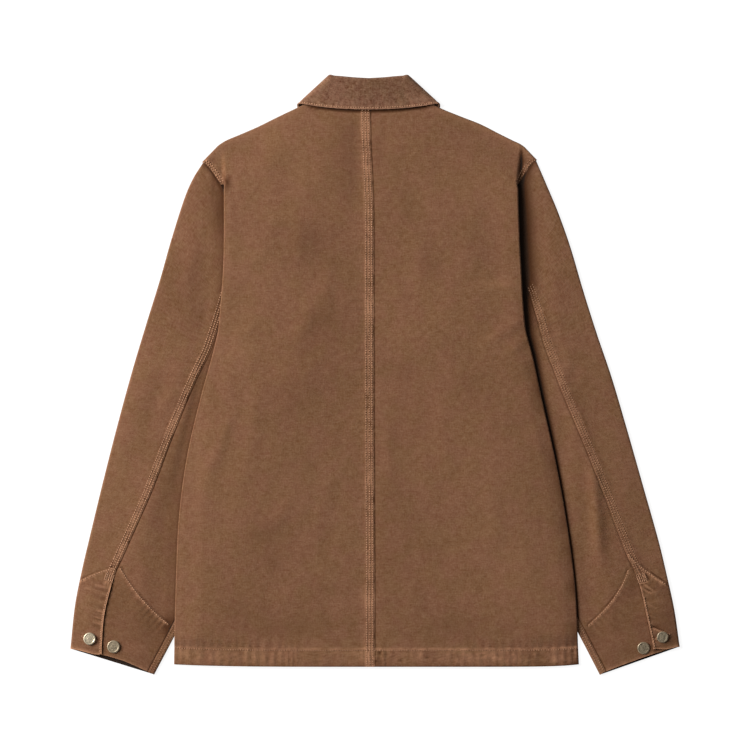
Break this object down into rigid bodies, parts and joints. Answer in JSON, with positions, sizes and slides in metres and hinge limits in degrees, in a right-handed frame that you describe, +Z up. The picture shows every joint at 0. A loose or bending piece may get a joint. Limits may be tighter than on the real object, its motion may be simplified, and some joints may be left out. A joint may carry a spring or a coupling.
{
  "type": "chore jacket",
  "caption": "Washed canvas chore jacket laid flat with its back up, turned-down collar, centre back seam and two-piece sleeves with buttoned cuff vents",
  "frame": {"origin": "on the surface that the jacket lies on, under the middle of its outline", "axes": "+X to the right when looking down at the back, +Y towards the collar, +Z up"},
  "size_m": [0.816, 0.8035, 0.0168],
  "materials": {
    "canvas": "washed, matte",
    "collar_canvas": "washed, matte",
    "brass": "antique, dulled"
  },
  "bodies": {
    "root": {"back_left": "canvas", "back_right": "canvas", "front_left": "canvas", "front_right": "canvas", "sleeve_left_upper": "canvas", "sleeve_left_under": "canvas", "sleeve_right_upper": "canvas", "sleeve_right_under": "canvas", "collar": "collar_canvas", "cuff_button_left_1": "brass", "cuff_button_left_2": "brass", "cuff_button_right_1": "brass", "cuff_button_right_2": "brass"}
  },
  "joints": []
}
